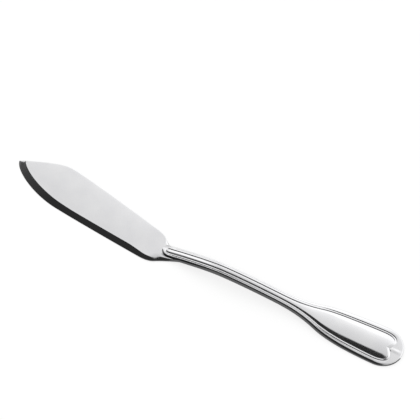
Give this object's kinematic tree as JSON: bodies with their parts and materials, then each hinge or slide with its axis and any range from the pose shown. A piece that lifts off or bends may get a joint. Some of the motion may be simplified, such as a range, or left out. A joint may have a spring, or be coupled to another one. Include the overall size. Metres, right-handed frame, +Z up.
{
  "type": "fish knife",
  "caption": "Stainless steel fish knife with a broad one-sided blade and an arched, thread-edged handle ending in a brace",
  "frame": {"origin": "on the table under the middle of the knife's bounding box", "axes": "+X along the knife from the blade's point to the handle's end, +Y towards the blade's back, +Z up, away from the table"},
  "size_m": [0.2098, 0.0296, 0.0092],
  "materials": {
    "polished_steel": "mirror-polished 18/10 stainless steel with fine buffing scratches"
  },
  "bodies": {
    "root": {"blade": "polished_steel", "handle": "polished_steel"}
  },
  "joints": []
}
